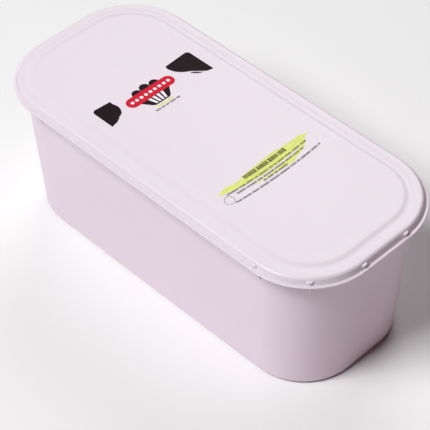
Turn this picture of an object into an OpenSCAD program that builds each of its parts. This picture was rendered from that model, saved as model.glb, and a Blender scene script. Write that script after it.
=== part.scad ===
// Oblong scooping tub for ice cream, closed by a press-on lid.
// X runs along the tub, Y across it and Z up. The origin is the middle of the base.
// Insets are measured inwards from the outer edge of the lid's lip, on every side alike.

/* [Overall] */
// Length over the lid's lip
lid_l = 350; // [300:1:420]
// Width over the lid's lip
lid_w = 160; // [130:1:200]
// Height of the underside of the lid's lip above the ground
lip_z = 123.7; // [80:0.1:170]
// Plan radius of the lip's corners
corner_r = 56.6; // [45:0.1:64]

/* [Lid] */
// Height from the underside of the lip to the top of the rim band
lid_h = 6.4; // [6:0.1:9]
// Thickness of the lid's panel and skirt
lid_wall = 1.4; // [1:0.1:1.9]
// Thickness of the lip
lip_t = 1.3; // [1:0.1:1.8]
// Inset of the skirt's foot, where it stands on the lip
skirt_foot = 2.5; // [2:0.1:3.2]
// Inset of the skirt's top, where the shoulder starts
skirt_top = 3.7; // [3.2:0.1:4.2]
// Radius of the shoulder between skirt and rim band
shoulder_r = 2.7; // [2.2:0.1:3.2]

/* [Lid groove] */
// Inset of the groove's outer edge
groove_in = 9.8; // [9.5:0.1:12]
// Depth of the groove below the rim band
groove_d = 0.5; // [0.3:0.05:1]
// Width of the groove's outer flank
groove_out_w = 3.4; // [2:0.1:5]
// Width of the groove's floor
groove_floor_w = 1.2; // [0.5:0.1:3]
// Width of the groove's inner flank
groove_in_w = 5.4; // [3:0.1:7]
// Height of the middle panel above the rim band
panel_rise = 0.4; // [0:0.05:1]

/* [Lid pips] */
// Radius of a pip
pip_r = 2.9; // [2:0.1:4]
// Inset of a pip's outermost line
pip_in = 1.9; // [1.5:0.1:2.3]
// Height of a pip's top above the underside of the lip
pip_h = 4.6; // [3.5:0.1:5]
// Thickness of a pip
pip_t = 2.2; // [1.5:0.1:3]
// Distance of the side pips and gussets beyond the ends of a corner's arc
station_gap = 1.5; // [0:0.1:8]

/* [Tub wall] */
// Inset of the wall at the height of the lip
wall_in = 9.2; // [8:0.1:12]
// Lean of each end wall, from the lip down to the ground
lean_l = 6.4; // [2:0.1:9]
// Lean of each side wall, from the lip down to the ground
lean_w = 5.9; // [2:0.1:9]
// Radius of the edge between wall and base
base_r = 4.5; // [2:0.1:7]

/* [Tub rim] */
// Clearance between the lid's skirt and the rim
lid_clear = 0.3; // [0.15:0.05:0.5]
// Inset of the rim flange under the lip
flange_in = 2; // [1:0.1:3]
// Thickness of the rim flange
flange_t = 1.4; // [1:0.1:2]
// Width of the land that carries the lid
land_w = 4.2; // [2.5:0.1:4.3]
// Depth of the filled inside below the land
fill_drop = 1; // [0.8:0.1:3]

/* [Gussets] */
// Thickness of a gusset
gusset_t = 1.3; // [0.8:0.1:2]
// Height of a gusset
gusset_h = 14.5; // [6:0.5:20]
// Inset of a gusset's outer corner under the rim flange
gusset_in = 3.2; // [3:0.1:5]

/* [Base] */
// Width of the ring that the tub stands on
foot_w = 4; // [2:0.5:8]
// Depth of the recess inside that ring
foot_h = 1.5; // [0.5:0.1:3]
// Radius of the moulding gate's round pad in the recess
gate_r = 6; // [3:0.5:10]
// Height of that pad
gate_h = 0.5; // [0.2:0.1:0.8]

/* [Hidden] */
$fn = 96;
corner_steps = 24;
arc_steps = 6;
overlap = 2;
pip_bite = 0.4;
lid_colour = [0.93, 0.89, 0.925];
tub_colour = [0.885, 0.83, 0.88];
along = lid_l / 2 - corner_r;
across = lid_w / 2 - corner_r;
band_z = lip_z + lid_h;
panel_z = band_z + panel_rise;
land_z = band_z - lid_wall;
land_in = skirt_top + lid_wall + lid_clear;
rim_r = shoulder_r - lid_wall;
fill_z = land_z - fill_drop;
flange_z = lip_z - lid_clear - flange_t;
flank_in = groove_in + groove_out_w + groove_floor_w;
wall_r = corner_r - wall_in;
foot_in = base_r + foot_w;

// Points along an arc about [cx, cz], from angle a to angle b
function arc(cx, cz, r, a, b) =
    [for (i = [0:arc_steps]) let (t = a + (b - a) * i / arc_steps) [cx + r * cos(t), cz + r * sin(t)]];

// Points down or up a smooth flank that is w wide, from height a to height b
function flank(x, w, a, b) =
    [for (i = [0:arc_steps]) [x + w * i / arc_steps, a + (b - a) * (1 - cos(180 * i / arc_steps)) / 2]];

// The lid's top from the shoulder inwards, drop below its outer surface
function top_line(drop) = concat(
    arc(skirt_top + shoulder_r, band_z - shoulder_r, shoulder_r - drop, 180, 90),
    flank(groove_in, groove_out_w, band_z - drop, band_z - groove_d - drop),
    flank(flank_in, groove_in_w, band_z - groove_d - drop, panel_z - drop),
    [[corner_r, panel_z - drop]]);

// Cross-section of the lid's shell
function shell_line() = concat(
    arc(lip_t / 2, lip_z + lip_t / 2, lip_t / 2, 270, 90),
    [[skirt_foot, lip_z + lip_t]],
    top_line(0),
    [for (i = [len(top_line(0)) - 1:-1:0]) top_line(lid_wall)[i]],
    [[skirt_foot + lid_wall, lip_z + lip_t], [skirt_foot + lid_wall, lip_z]]);

// Cross-section of the rim with the filled inside
function rim_line() = concat(
    [[flange_in, flange_z], [flange_in, flange_z + flange_t], [land_in, flange_z + flange_t]],
    arc(land_in + rim_r, land_z - rim_r, rim_r, 180, 90),
    [[land_in + land_w, land_z], [land_in + land_w, fill_z], [corner_r, fill_z],
     [corner_r, flange_z - overlap], [wall_in + overlap, flange_z - overlap], [wall_in + overlap, flange_z]]);

// One level of the tub's wall, in_by further in than the wall itself
function level(z, in_by) =
    let (
        lean = 1 - z / lip_z,
        cx = lid_l / 2 - wall_in - lean_l * lean - wall_r,
        cy = lid_w / 2 - wall_in - lean_w * lean - wall_r,
        r = wall_r - in_by
    )
    [for (q = [0:3], i = [0:corner_steps])
        let (t = 90 * (q + i / corner_steps), sx = (q == 0 || q == 3) ? 1 : -1, sy = q < 2 ? 1 : -1)
            [sx * cx + r * cos(t), sy * cy + r * sin(t), z]];

// Runs a cross-section round the whole plan; at the middle it reaches from z_low to z_high
module sweep(line, z_low, z_high) {
    for (turn = [0, 180]) rotate(turn) {
        translate([-along, -lid_w / 2, 0]) rotate([90, 0, 90]) linear_extrude(2 * along) polygon(line);
        translate([lid_l / 2, -across, 0]) rotate([90, 0, 180]) linear_extrude(2 * across) polygon(line);
        translate([along, -across, 0]) rotate(-90) corner(line);
        translate([along, across, 0]) corner(line);
    }
    translate([-along, -across, z_low]) cube([2 * along, 2 * across, z_high - z_low]);
}

module corner(line) {
    rotate_extrude(angle = 90) polygon([for (p = line) [corner_r - p.x, p.y]]);
}

// These three place a child that is drawn with the lip's edge at x = 0 and the inside towards +X:
// on a corner's diagonal, on a side just past the end of a corner's arc, and on an end likewise.
module on_corner(sx, sy) {
    translate([sx * along, sy * across, 0]) rotate(atan2(sy, sx)) translate([corner_r, 0, 0]) mirror([1, 0, 0])
        children();
}

module on_side(sx, sy) {
    translate([sx * (along - station_gap), sy * lid_w / 2, 0]) rotate(-90 * sy) children();
}

module on_end(sx, sy) {
    translate([sx * lid_l / 2, sy * (across - station_gap), 0]) rotate(90 + 90 * sx) children();
}

// Half-round pip on the skirt
module pip() {
    intersection() {
        translate([pip_in + pip_r, 0, lip_z + pip_h - pip_t]) cylinder(r = pip_r, h = pip_t);
        translate([0, -pip_r, lip_z]) cube([skirt_top + pip_bite, 2 * pip_r, 2 * pip_h]);
    }
}

module gusset() {
    foot_x = wall_in + (lean_l + lean_w) * (lip_z - flange_z + gusset_h) / lip_z / 2;
    translate([0, gusset_t / 2, 0]) rotate([90, 0, 0]) linear_extrude(gusset_t) polygon([
        [gusset_in, flange_z + flange_t / 2], [gusset_in, flange_z],
        [foot_x, flange_z - gusset_h], [foot_x + overlap, flange_z - gusset_h],
        [foot_x + overlap, flange_z + flange_t / 2]]);
}

// A flat slab in the plan of the standing ring's inner edge
module foot_recess() {
    cx = lid_l / 2 - wall_in - lean_l - wall_r;
    cy = lid_w / 2 - wall_in - lean_w - wall_r;
    r = wall_r - foot_in;
    translate([0, 0, -overlap]) linear_extrude(foot_h + overlap) {
        square([2 * cx, 2 * (cy + r)], center = true);
        square([2 * (cx + r), 2 * cy], center = true);
        for (sx = [-1, 1], sy = [-1, 1]) translate([sx * cx, sy * cy]) circle(r);
    }
}

module wall() {
    levels = concat(
        [for (i = [0:arc_steps]) let (t = 90 * i / arc_steps) level(base_r * (1 - cos(t)), base_r * (1 - sin(t)))],
        [level(flange_z + flange_t / 2, 0)]);
    n = len(levels[0]);
    last = len(levels) - 1;
    polyhedron(
        points = [for (ring = levels, p = ring) p],
        faces = concat(
            [[for (i = [0:n - 1]) i]],
            [for (k = [0:last - 1], i = [0:n - 1]) let (j = (i + 1) % n)
                [k * n + i, (k + 1) * n + i, (k + 1) * n + j, k * n + j]],
            [[for (i = [n - 1:-1:0]) last * n + i]]));
}

module tub() {
    color(tub_colour) union() {
        difference() {
            wall();
            foot_recess();
        }
        sweep(rim_line(), flange_z - overlap, fill_z);
        for (sx = [-1, 1], sy = [-1, 1]) {
            on_corner(sx, sy) gusset();
            on_side(sx, sy) gusset();
            on_end(sx, sy) gusset();
        }
        translate([0, 0, foot_h - gate_h]) cylinder(r = gate_r, h = gate_h + overlap);
    }
}

module lid() {
    color(lid_colour) union() {
        sweep(shell_line(), panel_z - lid_wall, panel_z);
        on_side(1, -1) pip();
        on_corner(1, -1) pip();
        on_end(1, -1) pip();
        on_end(1, 1) pip();
    }
}

tub();
lid();
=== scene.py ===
"""Looks of a shut ice cream tub: moulded tub and lid, the print on the lid, and a plain studio."""

import math
import random

import bmesh
import bpy
from mathutils import Matrix, Vector


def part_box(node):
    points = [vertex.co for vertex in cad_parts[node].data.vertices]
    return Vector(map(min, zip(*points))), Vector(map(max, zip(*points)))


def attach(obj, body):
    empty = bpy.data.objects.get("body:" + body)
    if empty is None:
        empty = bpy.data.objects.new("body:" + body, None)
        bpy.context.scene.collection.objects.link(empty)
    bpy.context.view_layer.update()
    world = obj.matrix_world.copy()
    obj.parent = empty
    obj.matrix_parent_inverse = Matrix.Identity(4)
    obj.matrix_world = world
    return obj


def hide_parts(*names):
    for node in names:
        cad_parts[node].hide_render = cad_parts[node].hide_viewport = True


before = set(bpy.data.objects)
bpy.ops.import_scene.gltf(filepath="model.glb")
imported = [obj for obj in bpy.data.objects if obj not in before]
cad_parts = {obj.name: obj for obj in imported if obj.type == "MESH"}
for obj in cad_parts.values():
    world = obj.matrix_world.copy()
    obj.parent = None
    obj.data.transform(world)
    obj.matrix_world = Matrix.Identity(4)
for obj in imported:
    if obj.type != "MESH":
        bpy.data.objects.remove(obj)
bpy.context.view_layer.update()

# Sizes in millimetres. The overall plan, the heights and the flange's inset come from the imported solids.
MM = 0.001
lid_low, lid_high = (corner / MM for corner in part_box("lid"))
tub_low, tub_high = (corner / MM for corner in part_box("tub"))
HALF_L = (lid_high.x - lid_low.x) / 2
HALF_W = (lid_high.y - lid_low.y) / 2
LIP_Z = lid_low.z
PANEL_Z = lid_high.z
LAND_Z = tub_high.z
FLANGE_IN = HALF_L - (tub_high.x - tub_low.x) / 2

CORNER_R = 56.6
PANEL_RISE = 0.4
BAND_Z = PANEL_Z - PANEL_RISE
LID_WALL = BAND_Z - LAND_Z
LIP_T = 1.3
SKIRT_FOOT = 2.5
SKIRT_TOP = 3.7
SHOULDER_R = 2.7
GROOVE_IN = 9.8
GROOVE_D = 0.5
GROOVE_OUT_W = 3.4
GROOVE_FLOOR_W = 1.2
GROOVE_IN_W = 5.4
PIP_R = 2.9
PIP_IN = 1.9
PIP_H = 4.6
PIP_T = 2.2
STATION_GAP = 1.5
WALL_IN = 9.2
LEAN_L = 6.4
LEAN_W = 5.9
BASE_R = 4.5
LID_CLEAR = 0.3
FLANGE_T = 1.4
FLANGE_Z = LIP_Z - LID_CLEAR - FLANGE_T
LAND_W = 4.2
FILL_DROP = 1.0
GUSSET_T = 1.3
GUSSET_H = 14.5
GUSSET_IN = 3.2
FOOT_W = 4.0
FOOT_H = 1.5
GATE_R = 6.0
GATE_H = 0.5

ALONG = HALF_L - CORNER_R
ACROSS = HALF_W - CORNER_R
WALL_R = CORNER_R - WALL_IN

# How far welded-on details reach into the body they stand on.
PIP_BITE = 0.4
GUSSET_BITE = 2.0
PAD_BITE = 1.0

# Radii of edges and corners that the plain solids leave sharp. The skirt's fillet ends at an angle in
# degrees, where it meets the skirt's lean.
SKIRT_FILLET = 0.5
SKIRT_FILLET_END = 346
PIP_EDGE = 0.35
FOOT_EDGE = 0.4
RIM_FILLET = 1.0

# The middle of the panel is let in a little, and the print lies in it.
PRINT_SINK = 0.15
PRINT_Z = PANEL_Z - PRINT_SINK
SINK_MARGIN = 2.0
SINK_W = 6.0
INK_STEP = 0.035

# Inset of the innermost ring on the tub's filled inside.
FILL_RING_IN = 20.0

# Steps round a corner's arc and along the plan's straight stretches, and the angle that stays a hard edge.
CORNER_STEPS = 40
LONG_STEPS = 30
SHORT_STEPS = 10
SHARP_ANGLE = math.radians(32.0)


# ---------------------------------------------------------------- mesh helpers


def shade(bm):
    """Smooth shading with hard edges where faces meet at more than the sharp angle."""
    for face in bm.faces:
        face.smooth = True
    for edge in bm.edges:
        edge.smooth = len(edge.link_faces) == 2 and edge.calc_face_angle(0.0) < SHARP_ANGLE


def new_object(name, bm):
    """Links a mesh as an object and frees it."""
    bmesh.ops.recalc_face_normals(bm, faces=bm.faces)
    shade(bm)
    mesh = bpy.data.meshes.new(name)
    bm.to_mesh(mesh)
    bm.free()
    piece = bpy.data.objects.new(name, mesh)
    bpy.context.scene.collection.objects.link(piece)
    return piece


def plan_ring(cx, cy, radius, z):
    """One closed ring round the plan: corner centres at (+-cx, +-cy), with that corner radius."""
    corners = ((1, 1), (-1, 1), (-1, -1), (1, -1))

    def on_arc(corner, quarters):
        sx, sy = corners[corner % 4]
        angle = math.radians(90.0 * quarters)
        return Vector((sx * cx + radius * math.cos(angle), sy * cy + radius * math.sin(angle), z))

    points = []
    for corner in range(4):
        points += [on_arc(corner, corner + step / CORNER_STEPS) for step in range(CORNER_STEPS + 1)]
        straight = LONG_STEPS if corner % 2 == 0 else SHORT_STEPS
        start = points[-1]
        end = on_arc(corner + 1, corner + 1)
        points += [start.lerp(end, step / straight) for step in range(1, straight)]
    return points


def lip_ring(inset, z):
    """A ring at an inset from the lip's edge."""
    return plan_ring(ALONG, ACROSS, CORNER_R - inset, z)


def wall_ring(z, in_by=0.0, lean_z=None):
    """A ring on the drafted wall, in_by further in; lean_z takes the wall's lean from another height."""
    lean = 1.0 - (z if lean_z is None else lean_z) / LIP_Z
    cx = HALF_L - WALL_IN - LEAN_L * lean - WALL_R
    cy = HALF_W - WALL_IN - LEAN_W * lean - WALL_R
    return plan_ring(cx, cy, WALL_R - in_by, z)


def wall_between(bm, low, high):
    """Side faces between two loops of as many points."""
    for i in range(len(low)):
        j = (i + 1) % len(low)
        bm.faces.new((low[i], low[j], high[j], high[i]))


def add_loft(bm, rings):
    """Adds a closed surface through rings of as many points each, capped at both ends."""
    rows = [[bm.verts.new(point * MM) for point in ring] for ring in rings]
    for low, high in zip(rows, rows[1:]):
        wall_between(bm, low, high)
    bm.faces.new(rows[0])
    bm.faces.new(rows[-1])


def loft(rings):
    """A mesh of one such surface."""
    bm = bmesh.new()
    add_loft(bm, rings)
    return bm


def arc(cx, cz, radius, start, end, steps=8):
    """Points on an arc, angles in degrees."""
    angles = [math.radians(start + (end - start) * i / steps) for i in range(steps + 1)]
    return [(cx + radius * math.cos(a), cz + radius * math.sin(a)) for a in angles]


def quarter_turn(steps):
    """Angles in radians, from none to a right angle."""
    return [math.radians(90 * i / steps) for i in range(steps + 1)]


def flank(x, width, high, low, steps=12):
    """A smooth S-shaped flank from one height to another."""
    return [
        (x + width * i / steps, high + (low - high) * (1 - math.cos(math.pi * i / steps)) / 2)
        for i in range(steps + 1)
    ]


def circle(x, y, radius, steps=64):
    """A closed outline round (x, y)."""
    turns = [math.tau * i / steps for i in range(steps)]
    return [(x + radius * math.cos(a), y + radius * math.sin(a)) for a in turns]


def at_edge(x, y, heading):
    """The matrix, in millimetres, that puts a shape drawn with the lip's edge at x = 0 at this place."""
    return Matrix.Translation((x, y, 0)) @ Matrix.Rotation(heading, 4, "Z")


def on_corner(sx, sy):
    """On the diagonal of a corner."""
    heading = math.atan2(-sy, -sx)
    reach_x, reach_y = CORNER_R * math.cos(heading), CORNER_R * math.sin(heading)
    return at_edge(sx * ALONG - reach_x, sy * ACROSS - reach_y, heading)


def on_side(sx, sy):
    """On a side, just past the end of a corner's arc."""
    return at_edge(sx * (ALONG - STATION_GAP), sy * HALF_W, math.radians(-90 * sy))


def on_end(sx, sy):
    """On an end, just past the end of a corner's arc."""
    return at_edge(sx * HALF_L, sy * (ACROSS - STATION_GAP), math.radians(90 + 90 * sx))


PIP_PLACES = [on_side(1, -1), on_corner(1, -1), on_end(1, -1), on_end(1, 1)]
GUSSET_PLACES = [
    place(sx, sy)
    for place in (on_corner, on_side, on_end)
    for sx in (-1, 1)
    for sy in (-1, 1)
]


def prism(outline, low, high, places, to_plane):
    """Extrudes an outline between two levels at each place; to_plane turns (x, y, level) into a point."""
    bm = bmesh.new()
    for place in places:
        add_loft(bm, [[place @ to_plane(x, y, level) for x, y in outline] for level in (low, high)])
    return bm


def weld_on(piece, extra):
    """Joins extra to piece as one closed surface."""
    union = piece.modifiers.new("union", "BOOLEAN")
    union.operation = "UNION"
    union.solver = "EXACT"
    union.object = extra
    welded = bpy.data.meshes.new_from_object(piece.evaluated_get(bpy.context.evaluated_depsgraph_get()))
    piece.modifiers.clear()
    name = piece.name
    old = piece.data
    piece.data = welded
    bpy.data.meshes.remove(old)
    welded.name = name
    extra_mesh = extra.data
    bpy.data.objects.remove(extra)
    bpy.data.meshes.remove(extra_mesh)
    bm = bmesh.new()
    bm.from_mesh(welded)
    shade(bm)
    bm.to_mesh(welded)
    bm.free()


# ---------------------------------------------------------------- tub and lid


def add_pips(lid):
    """Welds the half-round pips, with softened edges, onto the lid's skirt."""
    half_round = arc(PIP_IN + PIP_R, 0, PIP_R, 270, 90, 24)
    outline = [Vector((x, y, 0)) for x, y in half_round if x <= SKIRT_TOP + PIP_BITE]
    middle = Vector((PIP_IN + PIP_R, 0, 0))
    top = LIP_Z + PIP_H
    foot = top - PIP_T
    quarter = quarter_turn(4)
    levels = [(foot + PIP_EDGE * (1 - math.cos(t)), PIP_EDGE * (1 - math.sin(t))) for t in quarter]
    levels += [(top - PIP_EDGE * (1 - math.sin(t)), PIP_EDGE * (1 - math.cos(t))) for t in quarter]
    bm = bmesh.new()
    for place in PIP_PLACES:
        add_loft(bm, [
            [place @ (p + (middle - p).normalized() * shrink + Vector((0, 0, z))) for p in outline]
            for z, shrink in levels
        ])
    weld_on(lid, new_object("pips", bm))


def make_lid():
    """The lid as a thin shell: underside from the middle out, round the lip, and back over the top."""
    shoulder_x = SKIRT_TOP + SHOULDER_R
    shoulder_z = BAND_Z - SHOULDER_R
    flank_in = GROOVE_IN + GROOVE_OUT_W + GROOVE_FLOOR_W
    panel_in = flank_in + GROOVE_IN_W
    skirt_in = SKIRT_FOOT + LID_WALL
    lip_top = LIP_Z + LIP_T

    def top_line(drop):
        return (
            arc(shoulder_x, shoulder_z, SHOULDER_R - drop, 180, 90, 12)
            + flank(GROOVE_IN, GROOVE_OUT_W, BAND_Z - drop, BAND_Z - GROOVE_D - drop)
            + flank(flank_in, GROOVE_IN_W, BAND_Z - GROOVE_D - drop, PANEL_Z - drop, 16)
        )

    profile = list(reversed(top_line(LID_WALL))) + [(skirt_in, lip_top), (skirt_in, LIP_Z)]
    profile += arc(LIP_T / 2, LIP_Z + LIP_T / 2, LIP_T / 2, 270, 90, 12)
    profile += arc(
        SKIRT_FOOT - SKIRT_FILLET, lip_top + SKIRT_FILLET, SKIRT_FILLET, 270, SKIRT_FILLET_END, 6
    )
    profile += top_line(0)
    profile += flank(panel_in + SINK_MARGIN, SINK_W, PANEL_Z, PRINT_Z)
    lid = new_object("lid_shell", loft([lip_ring(x, z) for x, z in profile]))
    add_pips(lid)
    return lid


def add_gussets(tub):
    """Welds the thin gussets on, between the rim's flange and the wall."""
    foot_x = WALL_IN + (LEAN_L + LEAN_W) * (LIP_Z - FLANGE_Z + GUSSET_H) / LIP_Z / 2
    outline = [
        (GUSSET_IN, FLANGE_Z + FLANGE_T / 2),
        (GUSSET_IN, FLANGE_Z),
        (foot_x, FLANGE_Z - GUSSET_H),
        (foot_x + GUSSET_BITE, FLANGE_Z - GUSSET_H),
        (foot_x + GUSSET_BITE, FLANGE_Z + FLANGE_T / 2),
    ]
    fins = prism(outline, -GUSSET_T / 2, GUSSET_T / 2, GUSSET_PLACES, lambda x, z, y: Vector((x, y, z)))
    weld_on(tub, new_object("gussets", fins))


def add_gate_pad(tub):
    """Welds the round pad of the moulding gate on, in the recess under the base."""
    pad = prism(
        circle(0, 0, GATE_R, 48), FOOT_H - GATE_H, FOOT_H + PAD_BITE, [Matrix.Identity(4)],
        lambda x, y, z: Vector((x, y, z)),
    )
    weld_on(tub, new_object("gate_pad", pad))


def make_tub():
    """The tub from its recessed base, up the drafted wall, round the rim and onto the filled inside."""
    rounding = quarter_turn(10)
    wall_steps = 12
    land_in = SKIRT_TOP + LID_WALL + LID_CLEAR
    land_end = land_in + LAND_W
    fill_z = LAND_Z - FILL_DROP
    rim_r = SHOULDER_R - LID_WALL
    foot_in = BASE_R + FOOT_W
    wall_top = FLANGE_Z - RIM_FILLET

    # The recess and the standing ring's inner edge, with the wall's lean at the ground.
    recess = [(FOOT_H, foot_in + FOOT_EDGE), (FOOT_H, foot_in), (FOOT_EDGE, foot_in)]
    recess += [
        (FOOT_EDGE - FOOT_EDGE * math.sin(t), foot_in - FOOT_EDGE + FOOT_EDGE * math.cos(t))
        for t in rounding[1:]
    ]
    # The rounded lower edge, the wall, and the fillet under the flange.
    wall = [(BASE_R * (1 - math.cos(t)), BASE_R * (1 - math.sin(t))) for t in rounding]
    wall += [(BASE_R + (wall_top - BASE_R) * i / wall_steps, 0.0) for i in range(1, wall_steps + 1)]
    wall += [
        (wall_top + RIM_FILLET * math.sin(t), -RIM_FILLET * (1 - math.cos(t))) for t in rounding[2::2]
    ]
    # The flange, the rim's outside, the land and the filled inside.
    rim = arc(FLANGE_IN + FLANGE_T / 2, FLANGE_Z + FLANGE_T / 2, FLANGE_T / 2, 270, 90)
    rim += [(land_in, FLANGE_Z + FLANGE_T)]
    rim += arc(land_in + rim_r, LAND_Z - rim_r, rim_r, 180, 90)
    rim += [(land_end, LAND_Z), (land_end, fill_z), (FILL_RING_IN, fill_z)]

    rings = [wall_ring(z, in_by, 0) for z, in_by in recess]
    rings += [wall_ring(z, in_by) for z, in_by in wall]
    rings += [lip_ring(x, z) for x, z in rim]
    tub = new_object("tub_body", loft(rings))
    add_gussets(tub)
    add_gate_pad(tub)
    return tub


# ---------------------------------------------------------------- print on the lid
# Outlines are drawn in the print's own plane, in millimetres from the lid's middle: across runs along the
# tub's +Y, down along its +X.

PATCH_R = 3.2
EMBLEM_ACROSS = -3.4
BANNER_DOWN = -65.8
BANNER_L = 48.0
BANNER_H = 11.0
DOT_R = 1.5
DOT_PITCH = 4.7
DOTS = 9
SCOOPS = 3
SCOOP_R = 4.5
SCOOP_DOWN = -71.0
SCOOP_RAISE = 1.4
CUP_TOP = -62.0
CUP_FOOT = -51.4
CUP_TOP_W = 32.0
CUP_FOOT_W = 17.0
CUP_SOFT = 1.5
SAUCER_DOWN = -49.3
SAUCER_H = 1.5
TAGLINE_DOWN = -46.2
TAGLINE_W = 24.0
# The cup's stripes, at its top and at its foot: gap to the cup's edge, pitch and half of a stripe's width.
CUP_STRIPES = 4
STRIPE_GAPS = (0.5, 1.2)
STRIPE_PITCHES = (4.5, 3.1)
STRIPE_HALVES = (1.35, 0.95)
# A row's ends rise by the square of their distance from the middle over ROW_BOW.
ROW_BOW = 960.0
ROW_H = 1.9
HEADLINE_H = 4.4
TICK_SEED = 7
RING_ACROSS = -45.0
RING_DOWN = 61.5
RING_R = 4.2
RING_T = 0.3


def smooth_line(points, closed=True, steps=6):
    """A Catmull-Rom curve through points."""
    count = len(points)
    line = []
    for i in range(count if closed else count - 1):
        p0, p1, p2, p3 = (Vector(points[(i + k) % count]) for k in (-1, 0, 1, 2))
        if not closed:
            p0 = Vector(points[max(i - 1, 0)])
            p3 = Vector(points[min(i + 2, count - 1)])
        for step in range(steps):
            t = step / steps
            bend = (2 * p0 - 5 * p1 + 4 * p2 - p3) * t * t + (3 * p1 - p0 - 3 * p2 + p3) * t * t * t
            line.append(0.5 * (2 * p1 + (p2 - p0) * t + bend))
    if not closed:
        line.append(Vector(points[-1]))
    return line


def ink(name, outlines, layer, material, hole=None):
    """A printed shape of several outlines, layer steps above the let-in face, with a hole if one is given."""
    bm = bmesh.new()
    levels = (PRINT_Z - INK_STEP, PRINT_Z + layer * INK_STEP)

    def loops(line):
        return [[bm.verts.new(Vector((down, across, z)) * MM) for across, down in line] for z in levels]

    for outline in outlines:
        ends = loops(outline)
        wall_between(bm, *ends)
        if hole:
            inner = loops(hole)
            wall_between(bm, *inner)
            for outer_loop, inner_loop in zip(ends, inner):
                wall_between(bm, outer_loop, inner_loop)
        else:
            caps = [bm.faces.new(end) for end in ends]
            bmesh.ops.triangulate(bm, faces=caps)
    piece = new_object(name, bm)
    piece.data.materials.append(material)
    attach(piece, "root")


def bar(across, down, width, height):
    """A square-ended bar with its middle at (across, down)."""
    w, h = width / 2, height / 2
    return [(across - w, down - h), (across + w, down - h), (across + w, down + h), (across - w, down + h)]


def ticks(rng, start, end, tick, gap, word_gap, word):
    """Places and widths of ticks from start to end, in groups with a wider gap between them."""
    places = []
    at = start
    left = rng.randint(*word)
    while at < end:
        size = tick * rng.uniform(0.8, 1.2)
        places.append((at + size / 2, size))
        at += size + gap
        left -= 1
        if left == 0:
            left = rng.randint(*word)
            at += word_gap
    return places


def tick_row(rng, start, end, down, height=ROW_H, tick=0.62, gap=0.45, word_gap=0.95, word=(3, 10)):
    """Ticks that stand for a row of small print without any letters, on a slightly sagging line."""
    return [
        bar(at, down - at * at / ROW_BOW, size, height * rng.uniform(0.8, 1.0))
        for at, size in ticks(rng, start, end, tick, gap, word_gap, word)
    ]


def round_bar(across, down, width, height):
    """A bar with round ends and its middle at (across, down)."""
    end_r = height / 2
    reach = width / 2 - end_r
    right = arc(across + reach, down, end_r, -90, 90, 16)
    left = arc(across - reach, down, end_r, 90, 270, 16)
    return right + left


def row_of(count, pitch):
    """Places of count things in a row about the emblem's middle."""
    return [EMBLEM_ACROSS + pitch * (i - (count - 1) / 2) for i in range(count)]


def scoop_outlines():
    """Scoops side by side, with the middle one raised."""
    raised = [SCOOP_RAISE if i == SCOOPS // 2 else 0.0 for i in range(SCOOPS)]
    return [circle(at, SCOOP_DOWN - up, SCOOP_R) for at, up in zip(row_of(SCOOPS, 2 * SCOOP_R), raised)]


def cup_outline():
    """A cup that narrows to its foot, with the foot's corners cut off."""
    top, foot = CUP_TOP_W / 2, CUP_FOOT_W / 2
    right = [(top, CUP_TOP), (foot + CUP_SOFT / 2, CUP_FOOT - CUP_SOFT), (foot - CUP_SOFT, CUP_FOOT)]
    left = [(-x, y) for x, y in reversed(right)]
    return [(EMBLEM_ACROSS + x, y) for x, y in right + left]


def stripe_outlines():
    """White stripes down the middle of the cup, which fan out with its sides."""
    high, low = CUP_TOP + STRIPE_GAPS[0], CUP_FOOT - STRIPE_GAPS[1]
    high_w, low_w = STRIPE_HALVES
    lines = []
    for high_x, low_x in zip(*(row_of(CUP_STRIPES, pitch) for pitch in STRIPE_PITCHES)):
        lines.append([
            (high_x - high_w, high), (high_x + high_w, high), (low_x + low_w, low), (low_x - low_w, low),
        ])
    return lines


def rounded_corner(across, down, sx):
    """The outer top corner of a patch, from its side to its top."""
    return [
        (across - sx * PATCH_R * (1 - math.cos(a)), down + PATCH_R * (1 - math.sin(a)))
        for a in quarter_turn(8)
    ]


def patch_outlines():
    """Two corner patches with brushed inner edges, and the sliver that one brush stroke leaves."""
    right = rounded_corner(50.3, -80.2, 1) + smooth_line(
        [
            (25.2, -79.0), (24.4, -75.5), (26.3, -69.5), (30.5, -64.5), (35.2, -61.3), (38.5, -58.2),
            (42.3, -54.6), (45, -52.4), (50.3, -51),
        ],
        closed=False,
    )
    left = rounded_corner(-51.2, -80.3, -1) + smooth_line(
        [
            (-33.3, -79.2), (-33.6, -76), (-32.6, -71.5), (-33.2, -67.5), (-35.5, -63.8), (-38.6, -62),
            (-41, -61), (-40.6, -60.2), (-43.6, -59.4), (-43.4, -58.7), (-47.5, -57.8), (-51.2, -57),
        ],
        closed=False,
    )
    sliver = smooth_line([
        (34, -60.2), (36.8, -58.6), (39.6, -55.7), (41.8, -53.8), (38.6, -54.8), (35.4, -57.8),
    ])
    return [right, left, sliver]


def make_emblem(rng, black, red, lime, white):
    """Scoops in a striped cup on a saucer, with a band across: a plain sign for ice cream."""
    saucer = bar(EMBLEM_ACROSS, SAUCER_DOWN, CUP_FOOT_W, SAUCER_H)
    band = round_bar(EMBLEM_ACROSS, BANNER_DOWN, BANNER_L, BANNER_H)
    dots = [circle(at, BANNER_DOWN, DOT_R, 24) for at in row_of(DOTS, DOT_PITCH)]
    ends = (EMBLEM_ACROSS - TAGLINE_W / 2, EMBLEM_ACROSS + TAGLINE_W / 2)
    tagline = tick_row(rng, *ends, TAGLINE_DOWN, tick=0.75, word_gap=0.9, word=(3, 5))
    ink("print_scoops", scoop_outlines(), 1, black)
    ink("print_cup", [cup_outline()], 1, black)
    ink("print_cup_stripes", stripe_outlines(), 2, white)
    ink("print_saucer", [saucer], 1, lime)
    ink("print_banner", [band], 3, red)
    ink("print_banner_dots", dots, 4, white)
    ink("print_tagline", tagline, 1, black)


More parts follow.
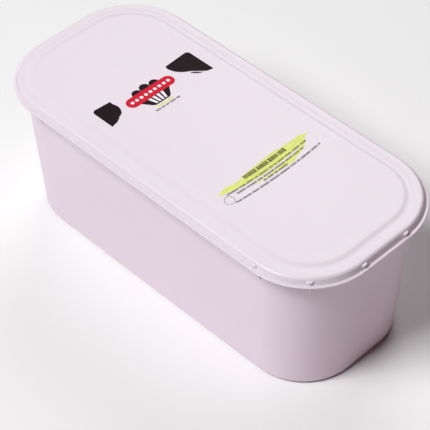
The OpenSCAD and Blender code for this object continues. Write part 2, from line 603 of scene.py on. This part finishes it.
def make_notes(rng, black, lime):
    """A brushed stroke that doubles back under rows of ticks."""
    stroke = smooth_line([
        (-48, 52.4), (-43.5, 50.9), (-37.2, 49.7), (-33.5, 51), (-24.5, 51.6), (-20.5, 50.1),
        (-8, 49.1), (4, 48.3), (13, 47.8), (21, 48.7), (33, 49.1), (41.5, 49), (43.8, 50.6),
        (48.5, 51.7), (48.5, 52.3), (43.5, 53.1), (41, 55.6), (37.5, 58.6), (33, 61), (28.5, 62.7),
        (23, 63.8), (20, 65.6), (16.5, 66.2), (8, 65.2), (-6, 64.2), (-20, 63.1), (-20, 62.5),
        (-6, 62.6), (8, 62.1), (20, 60.8), (30, 59.2), (33.5, 58), (24, 58.6), (10, 59.6),
        (-4, 59.8), (-18, 59), (-30, 57.5), (-40, 55), (-45.5, 53.7),
    ])
    ink("print_stroke", [stroke], 1, lime)
    rows = tick_row(rng, -20.8, 22.0, 52.5, HEADLINE_H, tick=1.2, gap=0.68, word_gap=0.9, word=(4, 7))
    for start, end, down in (
        (-42.5, 40.5, 58.2), (-36.0, 33.5, 61.6), (-12.5, 12.0, 64.7), (-43.0, 45.5, 68.3),
    ):
        rows += tick_row(rng, start, end, down)
    ink("print_rows", rows, 2, black)


def make_print(black, red, lime, white):
    rng = random.Random(TICK_SEED)
    ink("print_corners", patch_outlines(), 1, black)
    make_emblem(rng, black, red, lime, white)
    make_notes(rng, black, lime)
    ring, hole = (circle(RING_ACROSS, RING_DOWN, radius) for radius in (RING_R, RING_R - RING_T))
    ink("print_ring", [ring], 1, black, hole)


# ---------------------------------------------------------------- materials

TUB_COLOUR = (0.748, 0.632, 0.727)
LID_COLOUR = (0.715, 0.635, 0.70)
INK_BLACK = (0.012, 0.004, 0.007)
INK_RED = (0.60, 0.011, 0.036)
INK_LIME = (0.71, 0.77, 0.22)
INK_WHITE = (0.86, 0.82, 0.86)
# Noise scales are per metre and relief depths in metres. A shade is the share of a colour that its darkest
# spots keep.
MOTTLE_SCALE = 9.0
MOTTLE_SHADE = 0.975
GRAIN_SCALE = 900.0
GRAIN_DEPTH = 0.00008
SWELL_SCALE = 14.0
SWELL_DEPTH = 0.0002
FILM_SCALE = 260.0
FILM_SHADE = 0.86


def new_material(name, colour, roughness, specular=0.5):
    material = bpy.data.materials.new(name)
    material.use_nodes = True
    nodes = material.node_tree.nodes
    shader = nodes["Principled BSDF"]
    shader.inputs["Base Color"].default_value = (*colour, 1)
    shader.inputs["Roughness"].default_value = roughness
    shader.inputs["Specular IOR Level"].default_value = specular
    return material, nodes, material.node_tree.links, shader


def noise_node(nodes, links, scale, detail=3.0, roughness=0.5):
    where = nodes.new("ShaderNodeTexCoord")
    noise = nodes.new("ShaderNodeTexNoise")
    noise.inputs["Scale"].default_value = scale
    noise.inputs["Detail"].default_value = detail
    noise.inputs["Roughness"].default_value = roughness
    links.new(where.outputs["Object"], noise.inputs["Vector"])
    return noise


def tinted(nodes, links, shader, noise, light, dark):
    """Varies the base colour between two near shades by a noise."""
    ramp = nodes.new("ShaderNodeValToRGB")
    ramp.color_ramp.elements[0].position = 0.35
    ramp.color_ramp.elements[1].position = 0.65
    ramp.color_ramp.elements[0].color = (*dark, 1)
    ramp.color_ramp.elements[1].color = (*light, 1)
    links.new(noise.outputs["Fac"], ramp.inputs["Fac"])
    links.new(ramp.outputs["Color"], shader.inputs["Base Color"])


def spread(nodes, links, noise, low, high, socket):
    """Maps a noise onto a range and feeds it to a socket."""
    mapped = nodes.new("ShaderNodeMapRange")
    mapped.inputs["From Min"].default_value = 0.3
    mapped.inputs["From Max"].default_value = 0.7
    mapped.inputs["To Min"].default_value = low
    mapped.inputs["To Max"].default_value = high
    links.new(noise.outputs["Fac"], mapped.inputs["Value"])
    links.new(mapped.outputs["Result"], socket)


def bump_node(nodes, links, noise, strength, distance):
    """Turns a noise into a slight relief; distance is its depth in metres at full strength."""
    bump = nodes.new("ShaderNodeBump")
    bump.inputs["Strength"].default_value = strength
    bump.inputs["Distance"].default_value = distance
    links.new(noise.outputs["Fac"], bump.inputs["Height"])
    return bump


def plastic(name, colour, roughness):
    """Satin polypropylene: faint mottling, a fine moulded grain and a little light let into the wall."""
    material, nodes, links, shader = new_material(name, colour, roughness)
    mottle = noise_node(nodes, links, MOTTLE_SCALE, 4.0)
    grain = noise_node(nodes, links, GRAIN_SCALE, 4.0, 0.6)
    swell = noise_node(nodes, links, SWELL_SCALE, 2.0)
    tinted(nodes, links, shader, mottle, colour, tuple(c * MOTTLE_SHADE for c in colour))
    spread(nodes, links, grain, roughness - 0.05, roughness + 0.07, shader.inputs["Roughness"])
    fine = bump_node(nodes, links, grain, 0.25, GRAIN_DEPTH)
    broad = bump_node(nodes, links, swell, 0.5, SWELL_DEPTH)
    links.new(fine.outputs["Normal"], broad.inputs["Normal"])
    links.new(broad.outputs["Normal"], shader.inputs["Normal"])
    shader.inputs["Subsurface Weight"].default_value = 0.12
    shader.inputs["Subsurface Radius"].default_value = (1.0, 0.72, 0.8)
    shader.inputs["Subsurface Scale"].default_value = 0.004
    return material


def print_ink(name, colour, roughness=0.45, specular=0.06):
    """Flat ink with a slightly uneven film."""
    material, nodes, links, shader = new_material(name, colour, roughness, specular)
    film = noise_node(nodes, links, FILM_SCALE, 4.0, 0.6)
    tinted(nodes, links, shader, film, colour, tuple(c * FILM_SHADE for c in colour))
    spread(nodes, links, film, roughness - 0.06, roughness + 0.08, shader.inputs["Roughness"])
    return material


# ---------------------------------------------------------------- camera, floor and light

# Angles in radians, places in metres, the lens in millimetres on a sensor 36 mm wide.
CAM_AZIMUTH = math.radians(45.44)
CAM_ELEVATION = math.radians(45.07)
CAM_ROLL = math.radians(-0.44)
CAM_DISTANCE = 1.4154
CAM_TARGET = Vector((0.0144, -0.0137, 0.060))
CAM_LENS = 153.5
CAM_SENSOR = 36.0
CAM_REACH = 20.0


def heading_to(azimuth, elevation):
    """A unit vector at an azimuth, measured from -Y towards +X, and an elevation."""
    level = math.cos(elevation)
    return Vector((math.sin(azimuth) * level, -math.cos(azimuth) * level, math.sin(elevation)))


def make_camera():
    back = heading_to(CAM_AZIMUTH, CAM_ELEVATION)
    side = (-back).cross(Vector((0, 0, 1))).normalized()
    up = back.cross(side)
    right = math.cos(CAM_ROLL) * side + math.sin(CAM_ROLL) * up
    top = math.cos(CAM_ROLL) * up - math.sin(CAM_ROLL) * side
    data = bpy.data.cameras.new("camera")
    data.lens = CAM_LENS
    data.sensor_width = CAM_SENSOR
    data.clip_end = CAM_REACH
    camera = bpy.data.objects.new("camera", data)
    turn = Matrix((right, top, back)).transposed().to_4x4()
    camera.matrix_world = Matrix.Translation(CAM_TARGET + back * CAM_DISTANCE) @ turn
    bpy.context.scene.collection.objects.link(camera)
    bpy.context.scene.camera = camera


# Name, azimuth from -Y towards +X and elevation in degrees, size in metres, power in watts, colour.
LIGHTS = (
    ("key", -13, 56, 1.6, 174.0, (1.0, 1.0, 1.0)),
    ("back", -148, 38, 2.0, 60.0, (1.0, 1.0, 1.0)),
    ("rose", 100, 20, 2.5, 7.0, (1.0, 0.1, 0.15)),
)
LIGHT_DISTANCE = 4.0
LIGHT_AIM = Vector((0, 0, 0.07))
FLOOR_REACH = 3.0
FLOOR_GREY = 0.77
WORLD_STRENGTH = 0.02


def soft_light(name, azimuth, elevation, size, power, colour):
    """A large square area light that faces the tub."""
    data = bpy.data.lights.new(name, "AREA")
    data.shape = "SQUARE"
    data.size = size
    data.energy = power
    data.color = colour
    lamp = bpy.data.objects.new(name, data)
    lamp.location = LIGHT_DISTANCE * heading_to(math.radians(azimuth), math.radians(elevation))
    lamp.rotation_euler = (LIGHT_AIM - lamp.location).to_track_quat("-Z", "Y").to_euler()
    bpy.context.scene.collection.objects.link(lamp)


def make_stage():
    bm = bmesh.new()
    bmesh.ops.create_grid(bm, x_segments=1, y_segments=1, size=FLOOR_REACH)
    floor = new_object("floor", bm)
    floor.data.materials.append(new_material("floor", (FLOOR_GREY,) * 3, 0.6, 0.2)[0])
    world = bpy.data.worlds.new("studio")
    world.use_nodes = True
    backdrop = world.node_tree.nodes["Background"]
    backdrop.inputs["Color"].default_value = (1.0, 1.0, 1.0, 1)
    backdrop.inputs["Strength"].default_value = WORLD_STRENGTH
    bpy.context.scene.world = world
    for light in LIGHTS:
        soft_light(*light)
    bpy.context.scene.view_settings.view_transform = "Standard"


make_camera()
make_stage()

tub = make_tub()
tub.data.materials.clear()
tub.data.materials.append(plastic("tub_plastic", TUB_COLOUR, 0.42))
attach(tub, "root")
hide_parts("tub")

lid = make_lid()
lid.data.materials.clear()
lid.data.materials.append(plastic("lid_plastic", LID_COLOUR, 0.40))
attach(lid, "root")
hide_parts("lid")

make_print(
    print_ink("print_black", INK_BLACK),
    print_ink("print_red", INK_RED),
    print_ink("print_lime", INK_LIME),
    print_ink("print_white", INK_WHITE),
)
